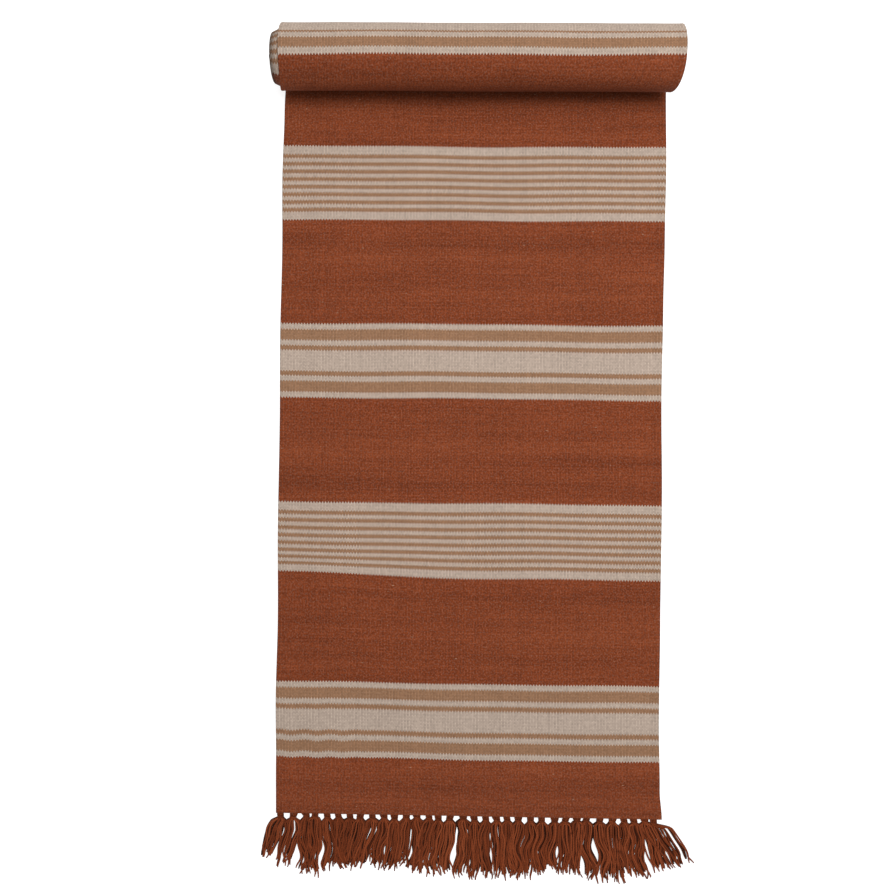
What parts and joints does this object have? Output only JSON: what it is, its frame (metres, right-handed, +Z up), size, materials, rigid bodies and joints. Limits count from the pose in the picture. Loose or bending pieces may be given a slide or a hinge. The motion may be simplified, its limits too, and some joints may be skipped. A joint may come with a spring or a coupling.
{
  "type": "runner rug",
  "caption": "Long narrow flatwoven cotton rug with cross stripes and knotted fringes, its far end rolled up on itself.",
  "frame": {"origin": "middle of the flat part's underside, on the floor", "axes": "+X across the rug, +Y along the rug towards the rolled end, +Z up from the floor"},
  "size_m": [0.6671, 1.3101, 0.0943],
  "materials": {
    "woven_rust": "weft-faced cotton flatweave, rust",
    "woven_sand": "weft-faced cotton flatweave, undyed and tan stripes",
    "fringe_yarn": "loose twisted cotton yarn, rust"
  },
  "bodies": {
    "near_end": {"near_end_field": "woven_rust", "band_1": "woven_sand"},
    "near_half": {"field_1": "woven_rust", "band_2": "woven_sand"},
    "middle": {"field_2": "woven_rust", "band_3": "woven_sand"},
    "far_half": {"field_3": "woven_rust", "band_4": "woven_sand"},
    "roll_lead": {"field_4": "woven_rust"},
    "strip_1": {"roll_strip_1": "woven_rust"},
    "strip_2": {"roll_strip_2": "woven_sand"},
    "strip_3": {"roll_strip_3": "woven_sand"},
    "strip_4": {"roll_strip_4": "woven_sand"},
    "roll": {"rolled_band_5": "woven_sand", "rolled_field_5": "woven_rust", "rolled_band_6": "woven_sand", "rolled_field_6": "woven_rust", "rolled_band_7": "woven_sand", "rolled_far_end_field": "woven_rust", "far_fringe_1": "fringe_yarn", "far_fringe_2": "fringe_yarn"},
    "tassels_01": {"near_tassel_01": "fringe_yarn", "near_tassel_02": "fringe_yarn"},
    "tassels_02": {"near_tassel_03": "fringe_yarn", "near_tassel_04": "fringe_yarn"},
    "tassels_03": {"near_tassel_05": "fringe_yarn", "near_tassel_06": "fringe_yarn"},
    "tassels_04": {"near_tassel_07": "fringe_yarn", "near_tassel_08": "fringe_yarn"},
    "tassels_05": {"near_tassel_09": "fringe_yarn", "near_tassel_10": "fringe_yarn"},
    "tassels_06": {"near_tassel_11": "fringe_yarn", "near_tassel_12": "fringe_yarn"},
    "tassels_07": {"near_tassel_13": "fringe_yarn", "near_tassel_14": "fringe_yarn"},
    "tassels_08": {"near_tassel_15": "fringe_yarn", "near_tassel_16": "fringe_yarn"},
    "tassels_09": {"near_tassel_17": "fringe_yarn", "near_tassel_18": "fringe_yarn"},
    "tassels_10": {"near_tassel_19": "fringe_yarn", "near_tassel_20": "fringe_yarn"},
    "tassels_11": {"near_tassel_21": "fringe_yarn", "near_tassel_22": "fringe_yarn"},
    "tassels_12": {"near_tassel_23": "fringe_yarn", "near_tassel_24": "fringe_yarn"},
    "tassels_13": {"near_tassel_25": "fringe_yarn", "near_tassel_26": "fringe_yarn"},
    "tassels_14": {"near_tassel_27": "fringe_yarn", "near_tassel_28": "fringe_yarn"},
    "tassels_15": {"near_tassel_29": "fringe_yarn", "near_tassel_30": "fringe_yarn"},
    "tassels_16": {"near_tassel_31": "fringe_yarn", "near_tassel_32": "fringe_yarn"},
    "tassels_17": {"near_tassel_33": "fringe_yarn", "near_tassel_34": "fringe_yarn"}
  },
  "joints": [
    {"name": "fold_near_half", "type": "hinge", "parent": "middle", "child": "near_half", "pos_m": [0, -0.0978, 0.004], "axis": [-1, 0, 0], "range_deg": [0, 90]},
    {"name": "fold_near_end", "type": "hinge", "parent": "near_half", "child": "near_end", "pos_m": [0, -0.3793, 0.004], "axis": [-1, 0, 0], "range_deg": [0, 150]},
    {"name": "fold_far_half", "type": "hinge", "parent": "middle", "child": "far_half", "pos_m": [0, 0.1837, 0.004], "axis": [1, 0, 0], "range_deg": [0, 75]},
    {"name": "lift_roll", "type": "hinge", "parent": "far_half", "child": "roll_lead", "pos_m": [0, 0.4652, 0.004], "axis": [1, 0, 0], "range_deg": [0, 90]},
    {"name": "unroll_1", "type": "hinge", "parent": "roll_lead", "child": "strip_1", "pos_m": [0, 0.59867, 0.002], "axis": [-1, 0, 0], "range_deg": [0, 36]},
    {"name": "unroll_2", "type": "hinge", "parent": "strip_1", "child": "strip_2", "pos_m": [0, 0.62283, 0.01955], "axis": [-1, 0, 0], "range_deg": [0, 36]},
    {"name": "unroll_3", "type": "hinge", "parent": "strip_2", "child": "strip_3", "pos_m": [0, 0.63195, 0.04761], "axis": [-1, 0, 0], "range_deg": [0, 36]},
    {"name": "unroll_4", "type": "hinge", "parent": "strip_3", "child": "strip_4", "pos_m": [0, 0.62294, 0.07533], "axis": [-1, 0, 0], "range_deg": [0, 36]},
    {"name": "unroll_5", "type": "hinge", "parent": "strip_4", "child": "roll", "pos_m": [0, 0.59965, 0.09225], "axis": [-1, 0, 0], "range_deg": [0, 36]},
    {"name": "lift_tassels_01", "type": "hinge", "parent": "near_end", "child": "tassels_01", "pos_m": [-0.28235, -0.5845, 0.004], "axis": [-1, 0, 0], "range_deg": [0, 165]},
    {"name": "lift_tassels_02", "type": "hinge", "parent": "near_end", "child": "tassels_02", "pos_m": [-0.24706, -0.5845, 0.004], "axis": [-1, 0, 0], "range_deg": [0, 165]},
    {"name": "lift_tassels_03", "type": "hinge", "parent": "near_end", "child": "tassels_03", "pos_m": [-0.21177, -0.5845, 0.004], "axis": [-1, 0, 0], "range_deg": [0, 165]},
    {"name": "lift_tassels_04", "type": "hinge", "parent": "near_end", "child": "tassels_04", "pos_m": [-0.17647, -0.5845, 0.004], "axis": [-1, 0, 0], "range_deg": [0, 165]},
    {"name": "lift_tassels_05", "type": "hinge", "parent": "near_end", "child": "tassels_05", "pos_m": [-0.14118, -0.5845, 0.004], "axis": [-1, 0, 0], "range_deg": [0, 165]},
    {"name": "lift_tassels_06", "type": "hinge", "parent": "near_end", "child": "tassels_06", "pos_m": [-0.10588, -0.5845, 0.004], "axis": [-1, 0, 0], "range_deg": [0, 165]},
    {"name": "lift_tassels_07", "type": "hinge", "parent": "near_end", "child": "tassels_07", "pos_m": [-0.07059, -0.5845, 0.004], "axis": [-1, 0, 0], "range_deg": [0, 165]},
    {"name": "lift_tassels_08", "type": "hinge", "parent": "near_end", "child": "tassels_08", "pos_m": [-0.03529, -0.5845, 0.004], "axis": [-1, 0, 0], "range_deg": [0, 165]},
    {"name": "lift_tassels_09", "type": "hinge", "parent": "near_end", "child": "tassels_09", "pos_m": [0, -0.5845, 0.004], "axis": [-1, 0, 0], "range_deg": [0, 165]},
    {"name": "lift_tassels_10", "type": "hinge", "parent": "near_end", "child": "tassels_10", "pos_m": [0.03529, -0.5845, 0.004], "axis": [-1, 0, 0], "range_deg": [0, 165]},
    {"name": "lift_tassels_11", "type": "hinge", "parent": "near_end", "child": "tassels_11", "pos_m": [0.07059, -0.5845, 0.004], "axis": [-1, 0, 0], "range_deg": [0, 165]},
    {"name": "lift_tassels_12", "type": "hinge", "parent": "near_end", "child": "tassels_12", "pos_m": [0.10588, -0.5845, 0.004], "axis": [-1, 0, 0], "range_deg": [0, 165]},
    {"name": "lift_tassels_13", "type": "hinge", "parent": "near_end", "child": "tassels_13", "pos_m": [0.14118, -0.5845, 0.004], "axis": [-1, 0, 0], "range_deg": [0, 165]},
    {"name": "lift_tassels_14", "type": "hinge", "parent": "near_end", "child": "tassels_14", "pos_m": [0.17647, -0.5845, 0.004], "axis": [-1, 0, 0], "range_deg": [0, 165]},
    {"name": "lift_tassels_15", "type": "hinge", "parent": "near_end", "child": "tassels_15", "pos_m": [0.21177, -0.5845, 0.004], "axis": [-1, 0, 0], "range_deg": [0, 165]},
    {"name": "lift_tassels_16", "type": "hinge", "parent": "near_end", "child": "tassels_16", "pos_m": [0.24706, -0.5845, 0.004], "axis": [-1, 0, 0], "range_deg": [0, 165]},
    {"name": "lift_tassels_17", "type": "hinge", "parent": "near_end", "child": "tassels_17", "pos_m": [0.28235, -0.5845, 0.004], "axis": [-1, 0, 0], "range_deg": [0, 165]}
  ]
}
